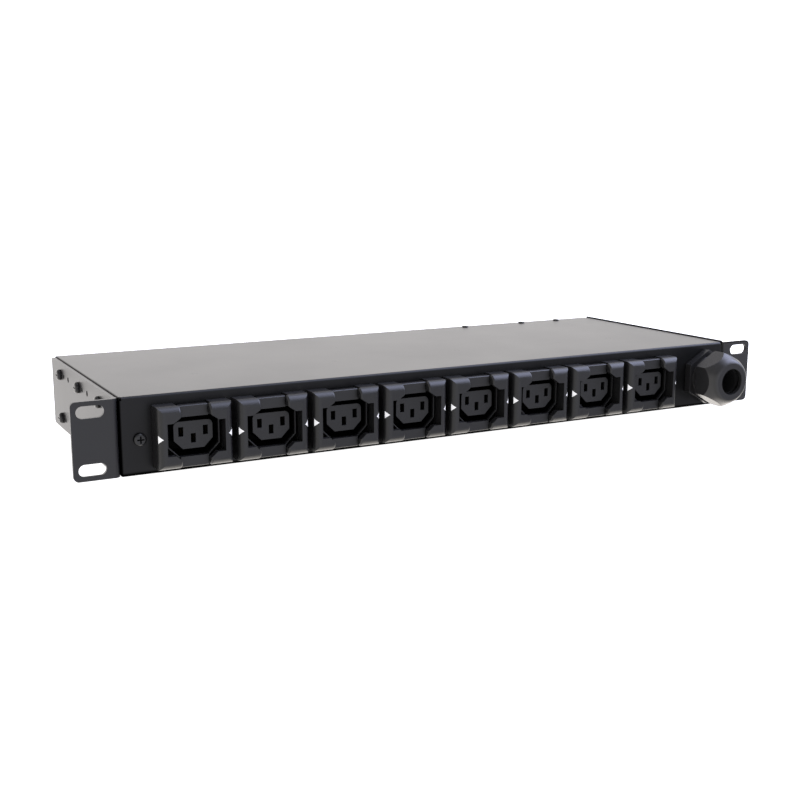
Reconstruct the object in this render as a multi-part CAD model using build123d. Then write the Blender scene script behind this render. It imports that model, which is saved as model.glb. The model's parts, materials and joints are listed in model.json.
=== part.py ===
# Rack power strip: a one-unit sheet-metal chassis with eight locking sockets and a cable gland.
# Millimetres.  +X runs to the right along the strip, +Y runs to the rear, +Z is up.
# The origin is the centre of the four rack slots, on the front face of the mounting ears.
from build123d import *
import math
import os

os.makedirs("parts", exist_ok=True)

# ---- driving dimensions -------------------------------------------------------------------
RACK_WIDTH = 482.6            # over both ears
CHASSIS_WIDTH = 436.0         # over both side plates
CHASSIS_DEPTH = 158.0
EAR_HEIGHT = 43.6
PLATE_HEIGHT = 43.0           # side plates behind the ears
SHELL_HEIGHT = 44.2           # top sheet to bottom sheet
PLATE_T = 2.0                 # side plates and ears
SHEET_T = 1.2                 # front shell and base tray
BEND_R = 1.6                  # outer bend radius of the shell
PLATE_BEND_R = 2.9            # outer bend radius where a side plate turns into its ear
EAR_CORNER_R = 3.0

SLOT_PITCH_X = 462.0
SLOT_PITCH_Z = 31.75
SLOT_LENGTH = 15.0
SLOT_WIDTH = 6.8

SOCKET_COUNT = 8
SOCKET_PITCH = 45.8
FIRST_SOCKET_X = -176.9
SOCKET_Z = -0.8

BUTTON_HALF_W = 21.3
BUTTON_HALF_H = 17.5
BUTTON_FRONT = 12.7           # height of the button face over the panel
BUTTON_ROUND = 4.5            # rounding of the outer front edges
ARM_END_ROUND = 1.2
BUTTON_TRAVEL = 1.3
BUTTON_FOOT = 0.3             # gap between the button skirt and the panel
BUTTON_INNER_X = 16.5         # pocket between the button and the socket rim
POCKET_TOP = 8.4
POCKET_TOP_X = 12.8
POCKET_BOTTOM = -9.7
POCKET_BOTTOM_X = 11.7
RIM_CLEARANCE = 0.6
ARM_NOSE = 1.0
ARM_END_X = 8.1

CAVITY_HALF_W = 14.3
CAVITY_TOP = 10.6
CAVITY_BOTTOM = -11.6
CAVITY_CHAMFER = 6.0
CAVITY_SMALL_CHAMFER = 1.8
CAVITY_FLOOR = 12.0           # depth of the socket floor behind the panel face
RIM_WALL = 0.7
RIM_FRONT = 6.6
FLANGE_T = 2.0
FLANGE_HALF_W = 17.9
FLANGE_HALF_H = 16.2
BODY_HALF_W = 14.9
BODY_HALF_H = 13.0
BODY_BACK = 24.0
BAND_HALF_W = ARM_END_X - 0.1  # bands above and below the cavity, between the button arms
BAND_FRONT = 8.2
BAND_TOP = BUTTON_HALF_H - 0.5
BAND_BOTTOM = -BUTTON_HALF_H
BAND_CHAMFER = 0.4
LATCH_HALF_W = 6.0            # snap wedges on the body, behind the panel
LATCH_HEIGHT = 1.2
LATCH_LENGTH = 4.0

CORE_HALF_W = 11.1
CORE_HALF_H = 7.75
CORE_FRONT = 6.2
CORE_CHAMFER = 5.0
CORE_RADIUS = 2.8
CONTACT_X = 7.0
CONTACT_Z = 2.0
CONTACT_SLOT_W = 2.8
CONTACT_SLOT_H = 5.2

GLAND_X = 198.0
GLAND_Z = -0.4
GLAND_AF = 33.0
GLAND_THREAD_R = 12.5
NUT_THREAD_R = 14.0
CABLE_R = 8.5                 # largest cable radius the seal takes

SCREW_HEAD_R = 3.4
SCREW_HEAD_H = 2.6
SCREW_R = 1.5
SCREW_Y = (34.0, 83.5, 133.0)
SCREW_ROW_Z = (13.9, -14.1)
SPARE_HOLE_R = 1.75
SPARE_HOLE_STEP = 21.5        # spare hole ahead of each screw
PILOT_HOLE_R = 1.4
PILOT_HOLE_STEP = 9.2         # pilot hole between a screw and its spare hole

X_SHELL = CHASSIS_WIDTH / 2 - PLATE_T
Z_SHELL = SHELL_HEIGHT / 2
Z_PLATE = PLATE_HEIGHT / 2
Z_EAR = EAR_HEIGHT / 2
SOCKET_XS = [FIRST_SOCKET_X + SOCKET_PITCH * k for k in range(SOCKET_COUNT)]


# ---- shape helpers ------------------------------------------------------------------------
def block(x0, x1, y0, y1, z0, z1):
    """Box between two opposite corners."""
    place = Pos((x0 + x1) / 2, (y0 + y1) / 2, (z0 + z1) / 2)
    return place * Box(abs(x1 - x0), abs(y1 - y0), abs(z1 - z0))


def rod_x(x0, x1, y, z, r):
    return Pos((x0 + x1) / 2, y, z) * Rot(0, 90, 0) * Cylinder(r, abs(x1 - x0))


def rod_y(x, y0, y1, z, r):
    return Pos(x, (y0 + y1) / 2, z) * Rot(90, 0, 0) * Cylinder(r, abs(y1 - y0))


def rod_z(x, y, z0, z1, r):
    return Pos(x, y, (z0 + z1) / 2) * Cylinder(r, abs(z1 - z0))


def prism(points, h0, h1, x=0.0, z=0.0):
    """Outline in X and Z, extruded from height h0 to h1 in front of the panel face."""
    outline = Polygon(*points, align=None)
    return extrude(Plane.XZ.offset(h0) * Pos(x, z) * outline, amount=h1 - h0, dir=(0, -1, 0))


def hex_y(x, z, across_flats, y0, y1):
    """Hexagonal prism along Y, with its corners at the top and bottom."""
    outline = RegularPolygon(across_flats / 2, 6, major_radius=False, rotation=30)
    return extrude(Plane.XZ.offset(-y1) * Pos(x, z) * outline, amount=y1 - y0, dir=(0, -1, 0))


def edges_at(shape, axis, **near):
    """Edges along an axis whose centre has the given coordinates."""
    def close(edge):
        centre = edge.center()
        return all(abs(getattr(centre, name) - value) < 0.01 for name, value in near.items())
    return [edge for edge in shape.edges().filter_by(axis) if close(edge)]


def turned_y(x, z, points):
    """Solid of revolution about a line along Y; points are (radius, y)."""
    outline = Plane.XY * Polygon(*points, align=None)
    return Pos(x, 0, z) * revolve(outline, Axis.Y)


def cross_recess(depth, half_length, half_width):
    """Cross recess cut from z = 0 down to -depth."""
    bar = Pos(0, 0, -depth / 2) * Box(2 * half_length, 2 * half_width, depth)
    return bar + Rot(0, 0, 90) * bar


def pan_head_screw(head_r, head_h, shank_r, shank_l):
    """Pan head screw along Z: the head stands above z = 0 and the shank below."""
    head = Pos(0, 0, head_h / 2) * Cylinder(head_r, head_h)
    head = fillet(head.edges().filter_by(GeomType.CIRCLE).sort_by(Axis.Z)[-1], head_h * 0.6)
    recess = Pos(0, 0, head_h) * cross_recess(head_h * 0.6, head_r * 0.56, head_r * 0.12)
    shank = Pos(0, 0, -shank_l / 2) * Cylinder(shank_r, shank_l)
    return head - recess + shank


def save(node, shapes):
    """One STEP file per node; a list of shapes becomes a group of separate solids."""
    if isinstance(shapes, list):
        shapes = Compound(children=[item for shape in shapes for item in shape.solids()])
    export_step(shapes, f"parts/{node}.step")


def mirrored(shape):
    return mirror(shape, Plane.YZ)


# ---- chassis ------------------------------------------------------------------------------
LIP_DEPTH = 16.0              # bottom lip of the front shell
SHEET_GAP = 0.3               # between the lip and the base tray
REAR_WALL_GAP = 1.0           # between the rear wall and the shell's side flanges
PLATE_STEP_Y = 3.5            # the side plates are lower than the ears behind this
PLATE_CORNER_R = 1.5
TRAY_BEND_R = 1.4
REAR_BEND_R = 1.0
FLANGE_HEIGHT = 14.5          # side flanges that take the side screws
NOTCH = 1.9                   # corner relief where three bends of the shell meet
SIDE_SCREW_LENGTH = 6.0
CLINCH_NUT_R = 3.2
CLINCH_NUT_H = 3.0
STUD_HEAD_R = 1.75
STUD_R = 1.4
STUD_LENGTH = 5.0
# Flush heads of the studs that are pressed into the top sheet, as (x, y).
STUD_PLACES = [(-188.5, 78), (-155.5, 53.5), (-62.8, 54), (-36.8, 109), (29.2, 56), (72.4, 73.5),
               (112, 54), (156, 53.5)]
REAR_SCREW_XS = (95.6, 148.2, 182.0)
REAR_SCREW_Y = 153.5
REAR_SCREW_R = 1.2
REAR_HEAD_R = 2.4
REAR_HEAD_H = 1.0
REAR_SCREW_LENGTH = 5.0
REAR_FLANGE = 11.0            # flange of the rear wall under the top sheet
PANEL_SCREW_X = -205.0
PANEL_SCREW_Z = -1.8
PANEL_SCREW_R = 2.0
CUTOUT_HALF_W = 16.6
CUTOUT_HALF_H = 13.2
LEG_WINDOW_X = 18.9
LEG_HALF_H = 4.0
LEG_CLEARANCE = 0.4
LEG_T = 1.5
LEG_REACH = 6.0               # behind the panel face
LEG_GAP = 0.7                 # from the socket body when the button is pressed
HOOK_HEIGHT = 1.4
HOOK_LENGTH = 2.9
LEG_WINDOW_HALF_H = 4.8


def side_holes(side, z):
    """One row of screw, pilot and spare holes through a side of the chassis."""
    inner = side * (X_SHELL - 3)
    outer = side * (CHASSIS_WIDTH / 2 + 1)
    row = []
    for y in SCREW_Y:
        row.append(rod_x(inner, outer, y, z, SCREW_R))
        row.append(rod_x(inner, outer, y - PILOT_HOLE_STEP, z, PILOT_HOLE_R))
        row.append(rod_x(inner, outer, y - SPARE_HOLE_STEP, z, SPARE_HOLE_R))
    return Part() + row


def shell_box(inset, radius, rear_y):
    """Chassis envelope, moved in by the inset, with its sheet bends rounded."""
    x = X_SHELL - inset
    z = Z_SHELL - inset
    solid = block(-x, x, inset, rear_y, -z, z)
    bends = edges_at(solid, Axis.X, Y=inset)
    bends += edges_at(solid, Axis.Z, Y=inset)
    bends += edges_at(solid, Axis.Y, Z=z)
    bends += edges_at(solid, Axis.Y, Z=-z)
    return fillet(bends, radius)


def front_shell():
    x = X_SHELL + 1
    z = Z_SHELL + 1
    shell = shell_box(0, BEND_R, CHASSIS_DEPTH)
    shell -= shell_box(SHEET_T, BEND_R - SHEET_T, CHASSIS_DEPTH + 1)
    shell -= block(-x, x, LIP_DEPTH, CHASSIS_DEPTH + 1, -z, Z_SHELL - FLANGE_HEIGHT)
    for sx in SOCKET_XS:
        shell -= block(sx - CUTOUT_HALF_W, sx + CUTOUT_HALF_W, -1, 3,
                       SOCKET_Z - CUTOUT_HALF_H, SOCKET_Z + CUTOUT_HALF_H)
        shell -= block(sx - LEG_WINDOW_X, sx + LEG_WINDOW_X, -1, 3,
                       SOCKET_Z - LEG_WINDOW_HALF_H, SOCKET_Z + LEG_WINDOW_HALF_H)
    shell -= rod_y(GLAND_X, -1, 2, GLAND_Z, GLAND_THREAD_R)
    shell -= rod_y(PANEL_SCREW_X, -1, 3, PANEL_SCREW_Z, PANEL_SCREW_R)
    for side in (-1, 1):
        shell -= block(side * (X_SHELL - NOTCH), side * x, -1, NOTCH, Z_SHELL - NOTCH, z)
        for row_z in SCREW_ROW_Z:
            shell -= side_holes(side, row_z)
    for sx, y in STUD_PLACES:
        shell -= rod_z(sx, y, Z_SHELL - 3, z, STUD_HEAD_R)
    for sx in REAR_SCREW_XS:
        shell -= rod_z(sx, REAR_SCREW_Y, Z_SHELL - 3, z, REAR_SCREW_R)
    return shell


def base_tray():
    """Bottom sheet with a rear wall, a lip under the top sheet and two side flanges."""
    x = X_SHELL
    low = -Z_SHELL
    lip_top = Z_SHELL - SHEET_T
    front = LIP_DEPTH + SHEET_GAP
    tray = block(-x, x, front, CHASSIS_DEPTH, low, low + SHEET_T)
    rear_x = x - SHEET_T - REAR_WALL_GAP
    tray += block(-rear_x, rear_x, CHASSIS_DEPTH - SHEET_T, CHASSIS_DEPTH, low, lip_top)
    tray += block(-rear_x, rear_x, CHASSIS_DEPTH - REAR_FLANGE, CHASSIS_DEPTH, lip_top - SHEET_T, lip_top)
    for side in (-1, 1):
        inner = side * (x - SHEET_T)
        tray += block(inner, side * x, front, CHASSIS_DEPTH, low, low + FLANGE_HEIGHT)
    for side in (-1, 1):
        bend = edges_at(tray, Axis.Y, X=side * x, Z=low)
        tray = fillet(bend, TRAY_BEND_R)
    rear_bend = [edge for edge in tray.edges().filter_by(Axis.X)
                 if abs(edge.center().Y - CHASSIS_DEPTH) < 0.01 and abs(edge.center().Z - low) < 0.01]
    tray = fillet(rear_bend, REAR_BEND_R)
    for side in (-1, 1):
        tray -= side_holes(side, SCREW_ROW_Z[1])
    for sx in REAR_SCREW_XS:
        tray -= rod_z(sx, REAR_SCREW_Y, lip_top - 3, lip_top + 1, REAR_SCREW_R)
    for fx in TERMINAL_FIXING_XS:
        tray -= rod_z(fx, TERMINAL_Y, low - 1, low + 3, FIXING_R)
    return tray


def side_plate():
    """Right side plate, bent outward at the front into the rack ear."""
    x_in = X_SHELL
    x_out = CHASSIS_WIDTH / 2
    x_ear = RACK_WIDTH / 2
    plate = block(x_in, x_out, 0, CHASSIS_DEPTH, -Z_EAR, Z_EAR)
    plate += block(x_in, x_ear, 0, PLATE_T, -Z_EAR, Z_EAR)
    plate = fillet(edges_at(plate, Axis.Z, X=x_in, Y=0), PLATE_BEND_R)
    plate = fillet(edges_at(plate, Axis.Z, X=x_out, Y=PLATE_T), PLATE_BEND_R - PLATE_T)
    plate = fillet(edges_at(plate, Axis.Y, X=x_ear), EAR_CORNER_R)
    for side in (-1, 1):
        plate -= block(x_in - 1, x_out + 1, PLATE_STEP_Y, CHASSIS_DEPTH + 1,
                       side * Z_PLATE, side * (Z_EAR + 1))
    plate = fillet(edges_at(plate, Axis.X, Y=CHASSIS_DEPTH), PLATE_CORNER_R)
    for z in (-SLOT_PITCH_Z / 2, SLOT_PITCH_Z / 2):
        centre = SLOT_PITCH_X / 2
        half = (SLOT_LENGTH - SLOT_WIDTH) / 2
        slot = block(centre - half, centre + half, -1, 3, z - SLOT_WIDTH / 2, z + SLOT_WIDTH / 2)
        for end in (-half, half):
            slot += rod_y(centre + end, -1, 3, z, SLOT_WIDTH / 2)
        plate -= slot
    for z in SCREW_ROW_Z:
        plate -= side_holes(1, z)
    return plate


def side_screw(side, y, z):
    screw = pan_head_screw(SCREW_HEAD_R, SCREW_HEAD_H, SCREW_R, SIDE_SCREW_LENGTH)
    return Pos(side * CHASSIS_WIDTH / 2, y, z) * Rot(0, 90 * side, 0) * screw


def clinch_nut(side, y, z):
    inner = side * (X_SHELL - SHEET_T)
    nut = rod_x(inner, inner - side * CLINCH_NUT_H, y, z, CLINCH_NUT_R)
    return nut - rod_x(inner + side, inner - side * (CLINCH_NUT_H + 1), y, z, SCREW_R)


def cover_stud(x, y):
    under = Z_SHELL - SHEET_T
    return rod_z(x, y, under, Z_SHELL, STUD_HEAD_R) + rod_z(x, y, under - STUD_LENGTH, under, STUD_R)


def rear_screw(x):
    screw = pan_head_screw(REAR_HEAD_R, REAR_HEAD_H, REAR_SCREW_R, REAR_SCREW_LENGTH)
    return Pos(x, REAR_SCREW_Y, Z_SHELL) * screw


# ---- sockets ------------------------------------------------------------------------------
def cavity_outline(grow):
    """Socket cavity outline, or the rim around it when grown: cut lower corners."""
    half = CAVITY_HALF_W + grow
    top = CAVITY_TOP + grow
    low = CAVITY_BOTTOM - grow
    cut = CAVITY_CHAMFER + grow * (2 - math.sqrt(2))
    small = CAVITY_SMALL_CHAMFER + grow * (2 - math.sqrt(2))
    return [(-half, top - small), (-half + small, top), (half - small, top), (half, top - small),
            (half, low + cut), (half - cut, low), (-half + cut, low), (-half, low + cut)]


def core_block():
    """Insulating core that stands in the cavity, with three contact slots."""
    low = -CORE_HALF_H
    high = CORE_HALF_H
    points = [(-CORE_HALF_W, high), (CORE_HALF_W, high), (CORE_HALF_W, low + CORE_CHAMFER),
              (CORE_HALF_W - CORE_CHAMFER, low), (-CORE_HALF_W + CORE_CHAMFER, low),
              (-CORE_HALF_W, low + CORE_CHAMFER)]
    core = prism(points, -CAVITY_FLOOR, CORE_FRONT)
    corners = [edge for edge in core.edges().filter_by(Axis.Y) if abs(edge.center().Z - high) < 0.01]
    return fillet(corners, CORE_RADIUS)


def contact_places():
    """Line, neutral and earth slot centres, from the core centre."""
    return {"line": (-CONTACT_X, CONTACT_Z), "neutral": (CONTACT_X, CONTACT_Z), "earth": (0, -CONTACT_Z)}


def socket_housing():
    """One socket, centred on X = 0 and Z = 0, with its flange on the panel face."""
    flange = block(-FLANGE_HALF_W, FLANGE_HALF_W, -FLANGE_T, 0, -FLANGE_HALF_H, FLANGE_HALF_H)
    body = block(-BODY_HALF_W, BODY_HALF_W, 0, BODY_BACK, -BODY_HALF_H, BODY_HALF_H)
    rim = prism(cavity_outline(RIM_WALL), FLANGE_T - 0.5, RIM_FRONT)
    upper = block(-BAND_HALF_W, BAND_HALF_W, -BAND_FRONT, -1, CAVITY_TOP, BAND_TOP)
    lower = block(-BAND_HALF_W, BAND_HALF_W, -BAND_FRONT, -1, BAND_BOTTOM, CAVITY_BOTTOM)
    upper = chamfer(edges_at(upper, Axis.X, Y=-BAND_FRONT, Z=BAND_TOP), BAND_CHAMFER)
    lower = chamfer(edges_at(lower, Axis.X, Y=-BAND_FRONT, Z=BAND_BOTTOM), BAND_CHAMFER)
    housing = flange + body + rim + upper + lower
    housing -= prism(cavity_outline(0), -CAVITY_FLOOR, RIM_FRONT + 1)
    housing += core_block()
    for cx, cz in contact_places().values():
        w = CONTACT_SLOT_W / 2
        h = CONTACT_SLOT_H / 2
        housing -= block(cx - w, cx + w, -CORE_FRONT - 1, BODY_BACK + 1, cz - h, cz + h)
    for side in (-1, 1):
        slot_z = LEG_HALF_H + LEG_CLEARANCE
        housing -= block(side * (BODY_HALF_W + 0.1), side * (FLANGE_HALF_W + 1),
                         -FLANGE_T - 0.4, 0.5, -slot_z, slot_z)
        latch = Polygon((SHEET_T, side * BODY_HALF_H), (SHEET_T, side * (BODY_HALF_H + LATCH_HEIGHT)),
                        (SHEET_T + LATCH_LENGTH, side * BODY_HALF_H), align=None)
        housing += extrude(Plane.YZ.offset(-LATCH_HALF_W) * latch, amount=2 * LATCH_HALF_W, dir=(1, 0, 0))
    return housing


def release_button():
    """Right-hand release button: a C-shaped cap that slides inward on the housing flange."""
    w = BUTTON_HALF_W
    hh = BUTTON_HALF_H
    cap_back = BAND_FRONT + 0.5
    upper_z = CAVITY_TOP + RIM_WALL + RIM_CLEARANCE
    lower_z = CAVITY_BOTTOM - RIM_WALL - RIM_CLEARANCE
    cap = prism([(ARM_END_X, hh), (ARM_END_X, upper_z), (ARM_END_X + ARM_NOSE, upper_z - ARM_NOSE),
                 (POCKET_TOP_X, POCKET_TOP), (BUTTON_INNER_X, POCKET_TOP), (BUTTON_INNER_X, POCKET_BOTTOM),
                 (POCKET_BOTTOM_X, POCKET_BOTTOM), (ARM_END_X, lower_z), (ARM_END_X, -hh),
                 (w, -hh), (w, hh)], cap_back, BUTTON_FRONT)
    arm_x = ARM_END_X + BUTTON_TRAVEL + 0.2
    lower = prism([(arm_x, hh), (arm_x, upper_z), (BUTTON_INNER_X, upper_z), (BUTTON_INNER_X, lower_z),
                   (arm_x, lower_z), (arm_x, -hh), (w, -hh), (w, hh)], BUTTON_FOOT, cap_back)
    button = cap + lower
    envelope = block(ARM_END_X, w, -BUTTON_FRONT, 0, -hh, hh)
    front = [edge for edge in envelope.edges() if abs(edge.center().Y + BUTTON_FRONT) < 0.01]
    envelope = fillet([edge for edge in front if edge.center().X > ARM_END_X + 1], BUTTON_ROUND)
    arm_end = [edge for edge in envelope.edges() if abs(edge.center().X - ARM_END_X) < 0.01]
    envelope = fillet([edge for edge in arm_end if edge.center().Y < -0.01], ARM_END_ROUND)
    button = button & envelope
    skirt_x = FLANGE_HALF_W + BUTTON_TRAVEL + 0.3
    skirt_z = FLANGE_HALF_H + 0.3
    button -= block(0, skirt_x, -FLANGE_T - 0.3, 1, -skirt_z, skirt_z)
    leg_x = BODY_HALF_W + BUTTON_TRAVEL + LEG_GAP
    button += block(leg_x, leg_x + LEG_T, -FLANGE_T - 1, LEG_REACH, -LEG_HALF_H, LEG_HALF_H)
    hook_x = leg_x + LEG_T - 0.1
    hook_y = SHEET_T + 0.4
    hook = Polygon((hook_y, hook_x), (hook_y, hook_x + HOOK_HEIGHT), (hook_y + HOOK_LENGTH, hook_x),
                   align=None)
    hook_plane = Plane(origin=(0, 0, -LEG_HALF_H), x_dir=(0, 1, 0), z_dir=(0, 0, -1))
    return button + extrude(hook_plane * hook, amount=-2 * LEG_HALF_H)


SPRING_T = 0.25
SPRING_LENGTH = 6.8
SPRING_WIDTH = 3.6
SPRING_Y = 1.8


def return_spring():
    """Bowed leaf spring between the housing side and the right-hand button leg."""
    half = SPRING_LENGTH / 2
    bow = BUTTON_TRAVEL + LEG_GAP - SPRING_T - 0.2
    arc = ThreePointArc((0, -half), (bow, 0), (0, half))
    back = ThreePointArc((SPRING_T, -half), (bow + SPRING_T, 0), (SPRING_T, half))
    ends = [Line((0, -half), (SPRING_T, -half)), Line((0, half), (SPRING_T, half))]
    face = make_face([arc, back] + ends)
    plane = Plane(origin=(BODY_HALF_W + 0.1, SPRING_Y, 0), x_dir=(1, 0, 0), z_dir=(0, -1, 0))
    return extrude(plane * face, amount=-SPRING_WIDTH)


# ---- current path -------------------------------------------------------------------------
STRIP_T = 1.0
STRIP_HALF_H = 2.5
STRIP_X0 = -190.0
STRIP_X1 = 166.0
LINE_Z = 6.0
EARTH_Z = -3.0
NEUTRAL_Z = -12.0
LIVE_PLANE_Y = 25.0           # line and neutral strips
EARTH_PLANE_Y = 27.5
LEAF_TIP_Y = -3.0
LEAF_T = 0.5
LEAF_GAP = 1.7                # between the two leaves that grip a plug blade
LEAF_HALF_H = 2.3
COVER_T = 1.4
COVER_MARGIN = 3.0            # past the ends of the strips
COVER_BACK = 32.0
COVER_LOW = -16.5
COVER_TOP = 12.0
COVER_SLOT = 3.0              # depth of a wire slot behind its strip
WIRE_R = 1.7
WIRE_BEND = 8.0
TERMINAL_X = 181.0
TERMINAL_Y = 69.0
TERMINAL_FIXING_XS = (172.0, 190.0)
WIRE_SHORT = 3.0              # the wires end this far ahead of the block's middle
FIXING_R = 1.6
FIXING_HEAD_R = 2.4
FIXING_HEAD_H = 1.6


def busbar(which, strip_z, plane_y):
    """Brass strip with one pair of spring leaves in every socket."""
    cx, cz = contact_places()[which]
    slot_z = SOCKET_Z + cz
    bar = block(STRIP_X0, STRIP_X1, plane_y, plane_y + STRIP_T,
                strip_z - STRIP_HALF_H, strip_z + STRIP_HALF_H)
    for sx in SOCKET_XS:
        x = sx + cx
        top = max(slot_z + LEAF_HALF_H, strip_z)
        low = min(slot_z - LEAF_HALF_H, strip_z)
        inner = LEAF_GAP / 2
        outer = inner + LEAF_T
        bar += block(x - outer, x + outer, plane_y, plane_y + STRIP_T, low, top)
        for side in (-1, 1):
            bar += block(x + side * inner, x + side * outer, LEAF_TIP_Y, plane_y + STRIP_T / 2,
                         slot_z - LEAF_HALF_H, slot_z + LEAF_HALF_H)
    return bar


def busbar_cover():
    """Insulating tray that closes over the strips behind the sockets."""
    x0 = STRIP_X0 - COVER_MARGIN
    x1 = STRIP_X1 + COVER_MARGIN
    cover = block(x0, x1, BODY_BACK, COVER_BACK, COVER_LOW, COVER_TOP)
    cover -= block(x0 + COVER_T, x1 - COVER_T, BODY_BACK - 1, COVER_BACK - COVER_T,
                   COVER_LOW + COVER_T, COVER_TOP - COVER_T)
    half = WIRE_R + 0.5
    for z, y in ((LINE_Z, LIVE_PLANE_Y), (EARTH_Z, EARTH_PLANE_Y), (NEUTRAL_Z, LIVE_PLANE_Y)):
        cover -= block(STRIP_X1, x1 + 1, BODY_BACK - 1, y + COVER_SLOT, z - half, z + half)
    cover -= block(x0 - 1, STRIP_X0, BODY_BACK - 1, EARTH_PLANE_Y + COVER_SLOT,
                   EARTH_Z - half, EARTH_Z + half)
    return cover


def wire(points, bends):
    """Insulated wire: straight runs joined by tangent arcs."""
    path = FilletPolyline(*points, radius=bends)
    section = Plane(origin=path @ 0, z_dir=path % 0) * Circle(WIRE_R)
    return sweep(section, path=path)


def supply_wire(strip_z, plane_y):
    y = plane_y + STRIP_T / 2
    return wire([(STRIP_X1, y, strip_z), (TERMINAL_X, y, strip_z),
                 (TERMINAL_X, TERMINAL_Y - WIRE_SHORT, strip_z)], WIRE_BEND)


RING_R = 4.2
RING_BACK = SHEET_T + 0.8
BARREL_X = -199.3
BARREL_R = 2.1
BARREL_BACK = 9.0
BOND_WIRE_BEND = 6.0
EARTH_NUT_AF = 7.0
EARTH_NUT_H = 3.2
PANEL_HEAD_R = 3.6
PANEL_HEAD_H = 2.3
PANEL_SCREW_LENGTH = 6.5


def earth_bond_wire():
    y = EARTH_PLANE_Y + STRIP_T / 2
    return wire([(STRIP_X0, y, EARTH_Z), (BARREL_X, y, EARTH_Z), (BARREL_X, BARREL_BACK, EARTH_Z)],
                BOND_WIRE_BEND)


def earth_terminal():
    """Ring terminal held under the panel screw's nut."""
    ring = rod_y(PANEL_SCREW_X, SHEET_T, RING_BACK, PANEL_SCREW_Z, RING_R)
    tongue = block(PANEL_SCREW_X, BARREL_X + BARREL_R, SHEET_T, RING_BACK,
                   EARTH_Z - BARREL_R, PANEL_SCREW_Z + BARREL_R)
    barrel = rod_y(BARREL_X, SHEET_T, BARREL_BACK, EARTH_Z, BARREL_R)
    return ring + tongue + barrel - rod_y(PANEL_SCREW_X, 0, 3, PANEL_SCREW_Z, PANEL_SCREW_R)


def earth_nut():
    nut = hex_y(PANEL_SCREW_X, PANEL_SCREW_Z, EARTH_NUT_AF, RING_BACK, RING_BACK + EARTH_NUT_H)
    return nut - rod_y(PANEL_SCREW_X, 0, 8, PANEL_SCREW_Z, PANEL_SCREW_R)


def panel_screw():
    screw = pan_head_screw(PANEL_HEAD_R, PANEL_HEAD_H, PANEL_SCREW_R, PANEL_SCREW_LENGTH)
    return Pos(PANEL_SCREW_X, 0, PANEL_SCREW_Z) * Rot(90, 0, 0) * screw


POLE_ZS = (LINE_Z, EARTH_Z, NEUTRAL_Z)
BLOCK_X0 = 174.5
BLOCK_X1 = 187.5
BLOCK_TOP = 11.0
BLOCK_HALF_L = 9.0
BLOCK_FOOT = 5.0              # fixing ears at both sides of the block
BLOCK_FOOT_HALF_L = 4.5
BLOCK_FOOT_H = 3.0
BLOCK_BASE = -Z_SHELL + SHEET_T
POLE_BORE_R = 2.3
POLE_SCREW_R = 1.6
POLE_SCREW_YS = (TERMINAL_Y - 5.0, TERMINAL_Y + 5.0)
SLOT_DEPTH = 1.0              # screwdriver slot
SLOT_HALF_T = 0.25
SLOT_HALF_L = 1.2


def terminal_block():
    body = block(BLOCK_X0, BLOCK_X1, TERMINAL_Y - BLOCK_HALF_L, TERMINAL_Y + BLOCK_HALF_L,
                 BLOCK_BASE, BLOCK_TOP)
    body += block(BLOCK_X0 - BLOCK_FOOT, BLOCK_X1 + BLOCK_FOOT, TERMINAL_Y - BLOCK_FOOT_HALF_L,
                  TERMINAL_Y + BLOCK_FOOT_HALF_L, BLOCK_BASE, BLOCK_BASE + BLOCK_FOOT_H)
    for z in POLE_ZS:
        body -= rod_y(TERMINAL_X, TERMINAL_Y - BLOCK_HALF_L - 1, TERMINAL_Y + BLOCK_HALF_L + 1,
                      z, POLE_BORE_R)
        for y in POLE_SCREW_YS:
            body -= rod_x(TERMINAL_X, BLOCK_X1 + 1, y, z, POLE_SCREW_R)
    for x in TERMINAL_FIXING_XS:
        body -= rod_z(x, TERMINAL_Y, BLOCK_BASE - 1, BLOCK_BASE + BLOCK_FOOT_H + 1, FIXING_R)
    return body


def terminal_screw(y, z):
    outer = BLOCK_X1 - 0.6
    screw = rod_x(TERMINAL_X + POLE_BORE_R + 0.3, outer, y, z, POLE_SCREW_R)
    return screw - block(outer - SLOT_DEPTH, outer + 1, y - SLOT_HALF_L, y + SLOT_HALF_L,
                         z - SLOT_HALF_T, z + SLOT_HALF_T)


def terminal_fixing(x):
    screw = pan_head_screw(FIXING_HEAD_R, FIXING_HEAD_H, FIXING_R, BLOCK_FOOT_H + SHEET_T)
    return Pos(x, TERMINAL_Y, BLOCK_BASE + BLOCK_FOOT_H) * screw


# ---- cable gland --------------------------------------------------------------------------
GASKET_T = 0.8
GASKET_R = 15.6
BODY_HEX_Y = -6.0
BODY_THREAD_Y = -16.0         # front end of the thread that takes the domed nut
BODY_SEAT_Y = -8.0            # seat of the seal, at the bottom of the counterbore
BODY_COUNTERBORE_R = 12.0
BODY_BORE_R = 9.6
BODY_BACK_Y = 10.0
NUT_BACK_Y = -11.0
NUT_SHOULDER_Y = -20.5
NUT_FACE_Y = -29.2
NUT_RING_R = 12.4
NUT_CROWN_R = 15.9
NUT_HOLE_R = 8.8
NUT_HOLE_Y = -26.4            # back of the lip round the cable hole
NUT_TAPER_Y = -19.0
NUT_TAPER_R = 10.2
THREAD_CLEARANCE = 0.08
LOCKNUT_AF = 28.0
LOCKNUT_T = 5.0


def gland_hex(across_flats, y0, y1):
    return hex_y(GLAND_X, GLAND_Z, across_flats, y0, y1)


def gland_rod(y0, y1, r):
    return rod_y(GLAND_X, y0, y1, GLAND_Z, r)


def gland_turned(points):
    return turned_y(GLAND_X, GLAND_Z, points)


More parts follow.
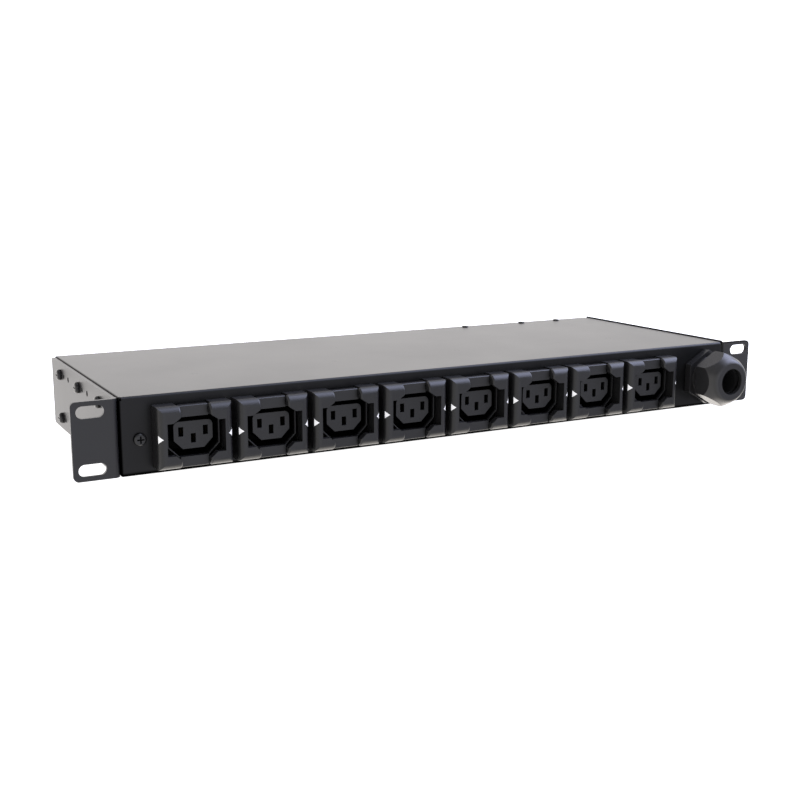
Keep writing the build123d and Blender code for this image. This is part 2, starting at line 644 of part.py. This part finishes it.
def gland_body():
    body = gland_hex(GLAND_AF, BODY_HEX_Y, -GASKET_T)
    body += gland_rod(BODY_THREAD_Y, BODY_HEX_Y, NUT_THREAD_R)
    body += gland_rod(-GASKET_T, BODY_BACK_Y, GLAND_THREAD_R)
    body -= gland_rod(BODY_THREAD_Y - 1, BODY_SEAT_Y, BODY_COUNTERBORE_R)
    body -= gland_rod(BODY_SEAT_Y - 1, BODY_BACK_Y + 1, BODY_BORE_R)
    return body


def gland_gasket():
    return gland_rod(-GASKET_T, 0, GASKET_R) - gland_rod(-2, 1, GLAND_THREAD_R)


def gland_locknut():
    back = SHEET_T + LOCKNUT_T
    return gland_hex(LOCKNUT_AF, SHEET_T, back) - gland_rod(0, back + 1, GLAND_THREAD_R)


def gland_nut():
    """Domed nut: a hexagon whose corners run out into a crowned nose."""
    hexagon = gland_hex(GLAND_AF, NUT_FACE_Y, NUT_BACK_Y)
    corner = GLAND_AF / 2 / math.cos(math.pi / 6)
    with BuildSketch(Plane.XY) as outline:
        with BuildLine():
            Polyline((0, NUT_BACK_Y), (corner - 0.6, NUT_BACK_Y), (corner, NUT_BACK_Y - 0.8),
                     (corner, NUT_SHOULDER_Y + 1.0))
            Spline((corner, NUT_SHOULDER_Y + 1.0), (NUT_CROWN_R, NUT_FACE_Y + 3.6), (NUT_RING_R, NUT_FACE_Y),
                   tangents=((-0.35, -1), (-1, -0.25)))
            Polyline((NUT_RING_R, NUT_FACE_Y), (0, NUT_FACE_Y), (0, NUT_BACK_Y))
        make_face()
    crown = Pos(GLAND_X, 0, GLAND_Z) * revolve(outline.sketch, Axis.Y)
    bore_r = NUT_THREAD_R + THREAD_CLEARANCE
    lip_front = NUT_HOLE_Y - 2.0
    bore = gland_turned([(0, 0), (bore_r, 0), (bore_r, NUT_TAPER_Y), (NUT_TAPER_R, NUT_HOLE_Y),
                         (NUT_HOLE_R, NUT_HOLE_Y), (NUT_HOLE_R, lip_front),
                         (NUT_HOLE_R + 0.8, NUT_FACE_Y - 1.8), (0, NUT_FACE_Y - 1.8)])
    return (hexagon & crown) - bore


CLAMP_REAR_Y = -8.6
CLAMP_FRONT_Y = -24.0
CLAMP_BARREL_R = 11.9         # inside the body's counterbore
CLAMP_COLLAR_R = 13.0         # collar that stands on the front of the body
CLAMP_COLLAR_Y = (-16.4, -19.0)
CLAMP_TIP_R = 11.0
CLAMP_FINGERS = 12
SLIT_WIDTH = 0.8
SEAL_OUT_R = 10.4


def clamp_insert():
    """Slotted cage that the nut's taper closes on to the seal."""
    collar_back, collar_front = CLAMP_COLLAR_Y
    cage = gland_turned([(SEAL_OUT_R, CLAMP_REAR_Y), (CLAMP_BARREL_R, CLAMP_REAR_Y),
                         (CLAMP_BARREL_R, collar_back), (CLAMP_COLLAR_R, collar_back),
                         (CLAMP_COLLAR_R, collar_front), (CLAMP_TIP_R, CLAMP_FRONT_Y),
                         (SEAL_OUT_R, CLAMP_FRONT_Y)])
    slit_front = CLAMP_FRONT_Y - 1
    middle = (collar_front + slit_front) / 2
    for k in range(CLAMP_FINGERS):
        slit = Pos(0, 0, (SEAL_OUT_R + CLAMP_COLLAR_R) / 2) * Box(SLIT_WIDTH, collar_front - slit_front, 6.0)
        cage -= Pos(GLAND_X, middle, GLAND_Z) * Rot(0, 360 / CLAMP_FINGERS * (k + 0.5), 0) * slit
    return cage


def gland_seal():
    return gland_rod(CLAMP_FRONT_Y, CLAMP_REAR_Y, SEAL_OUT_R) - gland_rod(-30, 0, CABLE_R)


# ---- write every node ---------------------------------------------------------------------
save("front_shell", front_shell())
save("base_tray", base_tray())
right_plate = side_plate()
save("side_plate_right", right_plate)
save("side_plate_left", mirrored(right_plate))
for name, side in (("left", -1), ("right", 1)):
    save(f"side_screws_{name}", [side_screw(side, y, z) for z in SCREW_ROW_Z for y in SCREW_Y])
save("clinch_nuts", [clinch_nut(side, y, z) for side in (-1, 1) for z in SCREW_ROW_Z for y in SCREW_Y])
save("cover_studs", [cover_stud(x, y) for x, y in STUD_PLACES])
save("rear_screws", [rear_screw(x) for x in REAR_SCREW_XS])
save("panel_screw", panel_screw())
save("earth_terminal", earth_terminal())
save("earth_nut", earth_nut())

housing = socket_housing()
button_right = release_button()
button_left = mirrored(button_right)
spring_right = return_spring()
spring_left = mirrored(spring_right)
springs = []
for number, sx in enumerate(SOCKET_XS, start=1):
    place = Pos(sx, 0, SOCKET_Z)
    save(f"socket_housing_{number}", place * housing)
    save(f"release_button_{number}_left", place * button_left)
    save(f"release_button_{number}_right", place * button_right)
    springs += [place * spring_left, place * spring_right]
save("return_springs", springs)

save("line_busbar", busbar("line", LINE_Z, LIVE_PLANE_Y))
save("neutral_busbar", busbar("neutral", NEUTRAL_Z, LIVE_PLANE_Y))
save("earth_busbar", busbar("earth", EARTH_Z, EARTH_PLANE_Y))
save("busbar_cover", busbar_cover())
save("line_wire", supply_wire(LINE_Z, LIVE_PLANE_Y))
save("neutral_wire", supply_wire(NEUTRAL_Z, LIVE_PLANE_Y))
save("earth_wire", supply_wire(EARTH_Z, EARTH_PLANE_Y))
save("earth_bond_wire", earth_bond_wire())
save("terminal_block", terminal_block())
save("terminal_screws", [terminal_screw(y, z) for z in POLE_ZS for y in POLE_SCREW_YS])
save("terminal_fixings", [terminal_fixing(x) for x in TERMINAL_FIXING_XS])

save("gland_body", gland_body())
save("gland_gasket", gland_gasket())
save("gland_locknut", gland_locknut())
save("gland_clamp_insert", clamp_insert())
save("gland_seal", gland_seal())
save("gland_nut", gland_nut())
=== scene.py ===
import json
import math

import bmesh
import bpy
from mathutils import Matrix, Vector


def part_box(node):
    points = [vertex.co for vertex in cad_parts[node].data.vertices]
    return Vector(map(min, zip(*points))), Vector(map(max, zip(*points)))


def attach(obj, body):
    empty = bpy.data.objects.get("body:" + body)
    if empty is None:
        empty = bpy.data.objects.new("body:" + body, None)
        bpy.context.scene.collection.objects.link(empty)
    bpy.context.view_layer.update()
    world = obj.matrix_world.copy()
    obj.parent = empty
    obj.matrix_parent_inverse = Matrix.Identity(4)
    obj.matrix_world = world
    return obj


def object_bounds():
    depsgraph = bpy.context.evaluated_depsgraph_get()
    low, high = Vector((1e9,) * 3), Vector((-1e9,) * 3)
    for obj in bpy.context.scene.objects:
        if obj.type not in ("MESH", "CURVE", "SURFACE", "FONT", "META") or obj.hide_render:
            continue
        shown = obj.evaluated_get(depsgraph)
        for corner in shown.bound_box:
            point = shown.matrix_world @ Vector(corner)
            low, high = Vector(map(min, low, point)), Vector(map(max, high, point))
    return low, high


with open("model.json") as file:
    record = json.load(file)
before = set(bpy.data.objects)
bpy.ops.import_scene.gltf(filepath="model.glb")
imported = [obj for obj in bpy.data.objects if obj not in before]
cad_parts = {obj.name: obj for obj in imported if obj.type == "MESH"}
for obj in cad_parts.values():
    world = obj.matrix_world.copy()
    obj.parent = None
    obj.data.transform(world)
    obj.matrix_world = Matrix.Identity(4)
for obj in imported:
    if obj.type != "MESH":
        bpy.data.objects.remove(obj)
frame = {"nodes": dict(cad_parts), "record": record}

MM = 0.001
nodes = frame["nodes"]
cad_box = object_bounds()
scene = bpy.context.scene


# ---- camera -------------------------------------------------------------------------------
CAMERA_PLACE = Vector((-0.36550, -0.59480, 0.14108))
CAMERA_YAW = 0.4947           # radians to the right of +Y
CAMERA_PITCH = -0.19903
CAMERA_ROLL = 0.00124
CAMERA_LENS = 51.117          # millimetres, on a sensor SENSOR_WIDTH wide
SENSOR_WIDTH = 36.0
CLIP_START, CLIP_END = 0.01, 50.0


def make_camera():
    forward = Vector((math.sin(CAMERA_YAW) * math.cos(CAMERA_PITCH),
                      math.cos(CAMERA_YAW) * math.cos(CAMERA_PITCH),
                      math.sin(CAMERA_PITCH)))
    level = Vector((math.cos(CAMERA_YAW), -math.sin(CAMERA_YAW), 0))
    above = level.cross(forward)
    right = level * math.cos(CAMERA_ROLL) + above * math.sin(CAMERA_ROLL)
    up = above * math.cos(CAMERA_ROLL) - level * math.sin(CAMERA_ROLL)
    data = bpy.data.cameras.new("camera")
    data.lens = CAMERA_LENS
    data.sensor_width = SENSOR_WIDTH
    data.clip_start = CLIP_START
    data.clip_end = CLIP_END
    camera = bpy.data.objects.new("camera", data)
    scene.collection.objects.link(camera)
    turn = Matrix((right, up, -forward)).transposed().to_4x4()
    camera.matrix_world = Matrix.Translation(CAMERA_PLACE) @ turn
    scene.camera = camera


# ---- shader nodes -------------------------------------------------------------------------
MIX_COLOUR_A, MIX_COLOUR_B, MIX_COLOUR_OUT = 6, 7, 2        # colour sockets of a mix node


def node(tree, kind, **inputs):
    """New shader node; an underscore in a name stands for a space in the socket's name."""
    made = tree.nodes.new(kind)
    for name, value in inputs.items():
        made.inputs[name.replace("_", " ")].default_value = value
    return made


def ramp(tree, source, stops, mode="EASE"):
    """Colour along a value, from (position, colour) stops."""
    made = tree.nodes.new("ShaderNodeValToRGB")
    made.color_ramp.interpolation = mode
    elements = made.color_ramp.elements
    while len(elements) < len(stops):
        elements.new(0.5)
    for element, (position, colour) in zip(elements, stops):
        element.position = position
        element.color = (*colour, 1.0)
    tree.links.new(source, made.inputs["Fac"])
    return made.outputs[0]


def product(tree, source, factor):
    """A value times a constant or another value."""
    made = tree.nodes.new("ShaderNodeMath")
    made.operation = "MULTIPLY"
    tree.links.new(source, made.inputs[0])
    if isinstance(factor, float):
        made.inputs[1].default_value = factor
    else:
        tree.links.new(factor, made.inputs[1])
    return made.outputs[0]


def toward(tree, direction, axis):
    """How far a direction points along an axis, from 0 (away) to 1 (along it)."""
    dot = tree.nodes.new("ShaderNodeVectorMath")
    dot.operation = "DOT_PRODUCT"
    dot.inputs[1].default_value = Vector(axis).normalized()
    tree.links.new(direction, dot.inputs[0])
    half = tree.nodes.new("ShaderNodeMath")
    half.operation = "MULTIPLY_ADD"
    tree.links.new(dot.outputs["Value"], half.inputs[0])
    half.inputs[1].default_value = 0.5
    half.inputs[2].default_value = 0.5
    return half.outputs[0]


def blend(tree, mode, a, b):
    made = tree.nodes.new("ShaderNodeMix")
    made.data_type = "RGBA"
    made.blend_type = mode
    made.inputs["Factor"].default_value = 1.0
    tree.links.new(a, made.inputs[MIX_COLOUR_A])
    tree.links.new(b, made.inputs[MIX_COLOUR_B])
    return made.outputs[MIX_COLOUR_OUT]


# ---- studio -------------------------------------------------------------------------------
BLACK, WHITE = (0.0, 0.0, 0.0), (1.0, 1.0, 1.0)
# Each light: the direction it lies in, and colours by how far a ray points that way (0 to 1).
HORIZON_AXIS = (-0.25, 1.0, 0.0)
HORIZON = [(0.0, (0.40, 0.40, 0.43)), (0.38, (0.36, 0.355, 0.35)),
           (0.62, (0.50, 0.485, 0.48)), (0.86, (0.68, 0.66, 0.65))]
SHADE_AXIS = (0.8, -0.6, 0.0)
SHADE = [(0.84, WHITE), (0.99, (0.50, 0.50, 0.52))]
DUSK_AXIS = (0.0, 0.0, 1.0)
DUSK = [(0.63, WHITE), (0.78, (0.42, 0.42, 0.43))]
SKY_AXIS = (0.70, -0.15, 0.70)
SKY = [(0.78, BLACK), (0.91, (0.50, 0.52, 0.62)), (0.985, (1.5, 1.6, 2.2))]
GROUND_AXIS = (0.45, 0.25, -0.86)
GROUND = [(0.80, BLACK), (0.96, (1.0, 0.95, 0.90))]
STUDIO_STRENGTH = 2.5
FLOOR_HALF = 6.0
FLOOR_COLOUR = (0.9, 0.89, 0.875, 1.0)
FLOOR_GLOW = 1.0


def make_world():
    """Studio: bright behind the object, dim to the front right, cool light from above right."""
    world = bpy.data.worlds.new("studio")
    scene.world = world
    world.use_nodes = True
    tree = world.node_tree
    tree.nodes.clear()
    direction = tree.nodes.new("ShaderNodeTexCoord").outputs["Generated"]
    horizon, shade, dusk, sky, ground = (
        ramp(tree, toward(tree, direction, axis), stops)
        for axis, stops in ((HORIZON_AXIS, HORIZON), (SHADE_AXIS, SHADE), (DUSK_AXIS, DUSK),
                            (SKY_AXIS, SKY), (GROUND_AXIS, GROUND)))
    horizon = blend(tree, "MULTIPLY", blend(tree, "MULTIPLY", horizon, shade), dusk)
    ends = blend(tree, "ADD", sky, ground)
    background = node(tree, "ShaderNodeBackground", Strength=STUDIO_STRENGTH)
    output = tree.nodes.new("ShaderNodeOutputWorld")
    tree.links.new(blend(tree, "LIGHTEN", horizon, ends), background.inputs["Color"])
    tree.links.new(background.outputs[0], output.inputs["Surface"])


def make_floor():
    """White floor that only the camera sees, so that it lights and reflects nothing."""
    low = cad_box[0].z
    mesh = bpy.data.meshes.new("floor")
    corners = [(-FLOOR_HALF, -FLOOR_HALF, low), (FLOOR_HALF, -FLOOR_HALF, low),
               (FLOOR_HALF, FLOOR_HALF, low), (-FLOOR_HALF, FLOOR_HALF, low)]
    mesh.from_pydata(corners, [], [(0, 1, 2, 3)])
    floor = bpy.data.objects.new("floor", mesh)
    scene.collection.objects.link(floor)
    paper = bpy.data.materials.new("floor_white")
    paper.use_nodes = True
    shader = paper.node_tree.nodes["Principled BSDF"]
    shader.inputs["Base Color"].default_value = FLOOR_COLOUR
    shader.inputs["Roughness"].default_value = 0.9
    shader.inputs["Specular IOR Level"].default_value = 0.2
    shader.inputs["Emission Color"].default_value = (*WHITE, 1.0)
    shader.inputs["Emission Strength"].default_value = FLOOR_GLOW
    mesh.materials.append(paper)
    floor.visible_glossy = False
    floor.visible_diffuse = False


# ---- materials ----------------------------------------------------------------------------
BROAD_PATCHES = 18.0          # slow patches of colour and shine per metre
BROAD_DETAIL, BROAD_ROUGHNESS = 3.0, 0.55
GRAIN_DETAIL, GRAIN_ROUGHNESS = 2.0, 0.6
NOISE_LOW, NOISE_HIGH = 0.3, 0.7        # the part of the noise that is stretched over the range
COOLNESS = 1.04               # blue against red and green in the blacks


def surface(name, dark, light, rough, grain, depth, metallic=0.0, specular=0.5, fades=(), glow=0.0):
    """Moulded or coated surface: fine grain in the bump, slow drift in the colour and roughness.

    dark and light bound the colour, rough bounds the roughness, grain is the grain size and depth
    its height, both in millimetres.  A fade is painted shade: it names an axis, two places on it in
    metres, and the share of colour and shine left at the first one.  glow is painted light, white
    light given out by the surface.
    """
    made = bpy.data.materials.new(name)
    made.use_nodes = True
    tree = made.node_tree
    shader = tree.nodes["Principled BSDF"]
    shader.inputs["Metallic"].default_value = metallic
    shader.inputs["Specular IOR Level"].default_value = specular
    shader.inputs["Emission Color"].default_value = (*WHITE, 1.0)
    shader.inputs["Emission Strength"].default_value = glow
    place = tree.nodes.new("ShaderNodeTexCoord").outputs["Object"]
    slow = node(tree, "ShaderNodeTexNoise", Scale=BROAD_PATCHES, Detail=BROAD_DETAIL,
                Roughness=BROAD_ROUGHNESS)
    fine = node(tree, "ShaderNodeTexNoise", Scale=1 / (grain * MM), Detail=GRAIN_DETAIL,
                Roughness=GRAIN_ROUGHNESS)
    for texture in (slow, fine):
        tree.links.new(place, texture.inputs["Vector"])
    base = ramp(tree, slow.outputs["Fac"], [(NOISE_LOW, dark), (NOISE_HIGH, light)], "LINEAR")
    level = specular
    for axis, start, end, share in fades:
        split = tree.nodes.new("ShaderNodeSeparateXYZ")
        tree.links.new(place, split.inputs[0])
        amount = node(tree, "ShaderNodeMapRange", From_Min=start, From_Max=end,
                      To_Min=share, To_Max=1.0)
        tree.links.new(split.outputs[axis], amount.inputs["Value"])
        base = blend(tree, "MULTIPLY", base, amount.outputs[0])
        level = product(tree, amount.outputs[0], level)
    if fades:
        tree.links.new(level, shader.inputs["Specular IOR Level"])
    tree.links.new(base, shader.inputs["Base Color"])
    gloss = node(tree, "ShaderNodeMapRange", From_Min=NOISE_LOW, From_Max=NOISE_HIGH,
                 To_Min=rough[0], To_Max=rough[1])
    tree.links.new(slow.outputs["Fac"], gloss.inputs["Value"])
    tree.links.new(gloss.outputs[0], shader.inputs["Roughness"])
    bump = node(tree, "ShaderNodeBump", Strength=1.0, Distance=depth * MM)
    tree.links.new(fine.outputs["Fac"], bump.inputs["Height"])
    tree.links.new(bump.outputs[0], shader.inputs["Normal"])
    return made


def grey(value):
    return (value, value, value * COOLNESS)


POWDER_COAT = dict(rough=(0.315, 0.335), grain=0.45, depth=0.004)
OXIDE = dict(dark=grey(0.012), light=grey(0.02), rough=(0.12, 0.18), grain=0.3, depth=0.003)
MOULDED = dict(grain=0.22)
METAL = dict(metallic=1.0)
CABLE = dict(rough=(0.35, 0.5), grain=0.6, depth=0.008)

SLOT_LOOKS = {
    "powder_coat": dict(POWDER_COAT, dark=grey(0.017), light=grey(0.019)),
    "black_screw": OXIDE,
    "zinc": dict(METAL, dark=(0.55, 0.55, 0.52), light=(0.65, 0.65, 0.62), rough=(0.3, 0.45),
                 grain=0.3, depth=0.004),
    "tinned_copper": dict(METAL, dark=(0.6, 0.58, 0.55), light=(0.7, 0.68, 0.64), rough=(0.25, 0.4),
                          grain=0.4, depth=0.004),
    # painted shade: dark in the cavity round each socket core
    "socket_plastic": dict(MOULDED, dark=grey(0.013), light=grey(0.016), rough=(0.38, 0.44),
                           depth=0.006, fades=[("Y", -0.0040, -0.0056, 0.15)]),
    "button_plastic": dict(MOULDED, dark=grey(0.014), light=grey(0.017), rough=(0.34, 0.38),
                           depth=0.005),
    "spring_steel": dict(METAL, dark=(0.45, 0.45, 0.45), light=(0.55, 0.55, 0.54), rough=(0.2, 0.3),
                         grain=0.3, depth=0.002),
    # painted shade: the contacts are dark near the mouths of their slots
    "brass": dict(METAL, dark=(0.65, 0.47, 0.2), light=(0.76, 0.58, 0.28), rough=(0.22, 0.38),
                  grain=0.4, depth=0.003, fades=[("Y", 0.021, 0.026, 0.02)]),
    "white_nylon": dict(dark=(0.68, 0.67, 0.62), light=(0.76, 0.75, 0.7), rough=(0.45, 0.55),
                        grain=0.3, depth=0.006),
    "brown_pvc": dict(CABLE, dark=(0.16, 0.07, 0.03), light=(0.2, 0.09, 0.04)),
    "blue_pvc": dict(CABLE, dark=(0.03, 0.12, 0.45), light=(0.05, 0.16, 0.52)),
    "green_pvc": dict(CABLE, dark=(0.06, 0.3, 0.07), light=(0.1, 0.38, 0.1)),
    "gland_nylon": dict(dark=grey(0.022), light=grey(0.026), rough=(0.21, 0.25), grain=0.5,
                        depth=0.004),
    "rubber": dict(dark=grey(0.010), light=grey(0.016), rough=(0.55, 0.7), grain=0.3, depth=0.01,
                   specular=0.3),
    # the print glows a little: painted light, so that it shows brighter
    "arrow_print": dict(dark=(0.86, 0.86, 0.86), light=(0.92, 0.92, 0.92), rough=(0.4, 0.5),
                        grain=0.15, depth=0.004, glow=0.3),
}

# Nodes with a look of their own within their slot.
NODE_LOOKS = {
    # painted shade: darker copy of the powder coat, front face duller still, dark bands along the
    # bottom and both ends of the shell
    "front_shell": dict(POWDER_COAT, name="powder_coat_panel_painted_shade", dark=grey(0.013), light=grey(0.014),
                        fades=[("Y", 0.0008, 0.0020, 0.55), ("Z", -0.0208, -0.0196, 0.02),
                               ("X", -0.2152, -0.2143, 0.02), ("X", 0.2157, 0.2149, 0.02)]),
    # painted light and shade: a lighter copy of the powder coat, with painted shade along its upper
    # edge
    "side_plate_right": dict(POWDER_COAT, name="powder_coat_painted_light_shaded_edge", dark=grey(0.030),
                             light=grey(0.032), fades=[("Z", 0.0214, 0.0210, 0.05)]),
    # painted shade: black in the cross recess
    "panel_screw": dict(OXIDE, name="black_screw_painted_recess_shade", fades=[("Y", -0.0010, -0.0018, 0.1)]),
}


# ---- CAD nodes ----------------------------------------------------------------------------
# Width of the rounded edges in millimetres, by the start of the node's name.
EDGE_SOFTNESS = {"release_button": 0.30, "socket_housing": 0.18, "gland_nut": 0.35,
                 "gland_body": 0.25, "side_plate": 0.15, "front_shell": 0.10, "base_tray": 0.10,
                 "panel_screw": 0.08, "side_screws": 0.08}
SHARP_ANGLE = math.radians(28)
WELD_DISTANCE = 0.002 * MM
BEVEL_SEGMENTS = 3
NORMAL_WEIGHT = 100


def split_edges(piece):
    """Keeps the sharp edges of a smooth-shaded CAD node crisp."""
    split = piece.modifiers.new("edges", "EDGE_SPLIT")
    split.use_edge_angle = True
    split.split_angle = SHARP_ANGLE


def soften(piece, width):
    """Rounds the sharp edges of a CAD node by modifiers, so that they catch the light."""
    weld = piece.modifiers.new("weld", "WELD")
    weld.merge_threshold = WELD_DISTANCE
    bevel = piece.modifiers.new("edges", "BEVEL")
    bevel.width = width * MM
    bevel.segments = BEVEL_SEGMENTS
    bevel.limit_method = "ANGLE"
    bevel.angle_limit = SHARP_ANGLE
    bevel.use_clamp_overlap = True
    normals = piece.modifiers.new("normals", "WEIGHTED_NORMAL")
    normals.mode = "FACE_AREA"
    normals.weight = NORMAL_WEIGHT
    normals.keep_sharp = True


def dress_cad_nodes(materials):
    slots = {row["node"]: row["material_slot"] for row in frame["record"]["subparts"]}
    special = {name: surface(**look) for name, look in NODE_LOOKS.items()}
    for name, piece in nodes.items():
        piece.data.materials.clear()
        piece.data.materials.append(special.get(name, materials[slots[name]]))
        for polygon in piece.data.polygons:
            polygon.use_smooth = True
        widths = [width for stem, width in EDGE_SOFTNESS.items() if name.startswith(stem)]
        if widths:
            soften(piece, widths[0])
        else:
            split_edges(piece)


# ---- pieces of the visual model only ------------------------------------------------------
def finish_piece(made, name, material):
    """Turns a bmesh into an object with outward normals."""
    bmesh.ops.recalc_face_normals(made, faces=made.faces)
    mesh = bpy.data.meshes.new(name)
    made.to_mesh(mesh)
    made.free()
    mesh.materials.append(material)
    piece = bpy.data.objects.new(name, mesh)
    scene.collection.objects.link(piece)
    return piece


# ---- printed arrows -----------------------------------------------------------------------
ARROW_LENGTH = 3.2 * MM
ARROW_HEIGHT = 4.3 * MM
ARROW_START = 1.7 * MM        # from the corner point, along the diagonal
ARROW_TIP = 0.04 * MM         # half the height left at the point of the arrow
ARROW_FILM = 0.04 * MM        # above and below the surface of the button
ARROW_ROWS = 6
CORNER_SHARE = 1 / 3          # depth of the corner point, as a share of the button's width
RAY_START = 20 * MM


def on_surface(piece, point, inward):
    """Where a straight line from outside meets a CAD node, and the surface normal there."""
    turn = piece.matrix_world.inverted()
    start = turn @ (point - inward * RAY_START)
    _, place, normal, _ = piece.ray_cast(start, turn.to_3x3() @ inward)
    return piece.matrix_world @ place, piece.matrix_world.to_3x3() @ normal


def make_arrow(number, side, material):
    """White print on the rounded outer side of a release button, pointing inward."""
    name = f"release_button_{number}_{side}"
    low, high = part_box(name)
    sign, edge_x = (-1, low.x) if side == "left" else (1, high.x)
    along = Vector((-sign, -1, 0)).normalized()
    into = Vector((-sign, 1, 0)).normalized()
    corner = Vector((edge_x, low.y + (high - low).x * CORNER_SHARE, (low.z + high.z) / 2))
    made = bmesh.new()
    sheets = []
    for lift in (-ARROW_FILM, ARROW_FILM):
        rows = []
        for row in range(ARROW_ROWS + 1):
            share = row / ARROW_ROWS
            half = max(ARROW_HEIGHT / 2 * (1 - share), ARROW_TIP)
            middle = corner + along * (ARROW_START + ARROW_LENGTH * share)
            points = []
            for offset in (-half, 0.0, half):
                place, normal = on_surface(nodes[name], middle + Vector((0, 0, offset)), into)
                points.append(made.verts.new(place + normal * lift))
            rows.append(points)
        sheets.append(rows)
    inner, outer = sheets
    for row in range(ARROW_ROWS):
        for column in range(2):
            for sheet in sheets:
                made.faces.new((sheet[row][column], sheet[row][column + 1],
                                sheet[row + 1][column + 1], sheet[row + 1][column]))
        for column in (0, 2):
            made.faces.new((inner[row][column], outer[row][column],
                            outer[row + 1][column], inner[row + 1][column]))
    for row in (0, ARROW_ROWS):
        for column in range(2):
            made.faces.new((inner[row][column], outer[row][column],
                            outer[row][column + 1], inner[row][column + 1]))
    arrow = finish_piece(made, f"arrow_{number}_{side}", material)
    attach(arrow, f"button_{number}_{side}")


# ---- painted shade: dark cord on the right side plate -------------------------------------
CORD_WIDTH = 1.3 * MM
CORD_HEIGHT = 1.1 * MM
CORD_SINK = 0.1 * MM          # the part of the cord inside the edge of the plate
CORD_GAP = 0.1 * MM           # from the end of the shell
CORD_FRONT_GAP = 2 * MM
CORD_REAR_GAP = 0.5 * MM
CORD_ROWS = 24
CORD_CORNER = 0.3 * CORD_WIDTH


def make_painted_shade_cord(material):
    """Black cord with bevelled corners along the upper edge of the right side plate: painted shade,
    standing in for the dark line of shade along the right-hand edge of the top.
    """
    plate_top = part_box("side_plate_right")[1].z
    shell_low, shell_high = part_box("front_shell")
    middle = shell_high.x + CORD_WIDTH / 2 + CORD_GAP
    bottom, top = plate_top - CORD_SINK, plate_top + CORD_HEIGHT
    half = CORD_WIDTH / 2
    section = [(-half, bottom), (-half, top - CORD_CORNER), (-half + CORD_CORNER, top),
               (half - CORD_CORNER, top), (half, top - CORD_CORNER), (half, bottom)]
    start, end = shell_low.y + CORD_FRONT_GAP, shell_high.y - CORD_REAR_GAP
    made = bmesh.new()
    rings = []
    for row in range(CORD_ROWS + 1):
        place = start + (end - start) * row / CORD_ROWS
        rings.append([made.verts.new((middle + x, place, z)) for x, z in section])
    for first, second in zip(rings, rings[1:]):
        for index in range(len(section)):
            after = (index + 1) % len(section)
            made.faces.new((first[index], first[after], second[after], second[index]))
    for ring in (rings[0], rings[-1]):
        made.faces.new(ring)
    cord = finish_piece(made, "painted_shade_cord_right", material)
    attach(cord, "chassis")


# ---- scene --------------------------------------------------------------------------------
SOCKET_COUNT = sum(name.startswith("socket_housing_") for name in nodes)

make_camera()
make_world()
make_floor()
materials = {name: surface(name, **look) for name, look in SLOT_LOOKS.items()}
dress_cad_nodes(materials)
for number in range(1, SOCKET_COUNT + 1):
    for side in ("left", "right"):
        make_arrow(number, side, materials["arrow_print"])
make_painted_shade_cord(materials["rubber"])
scene.view_settings.view_transform = "Standard"
scene.view_settings.look = "None"
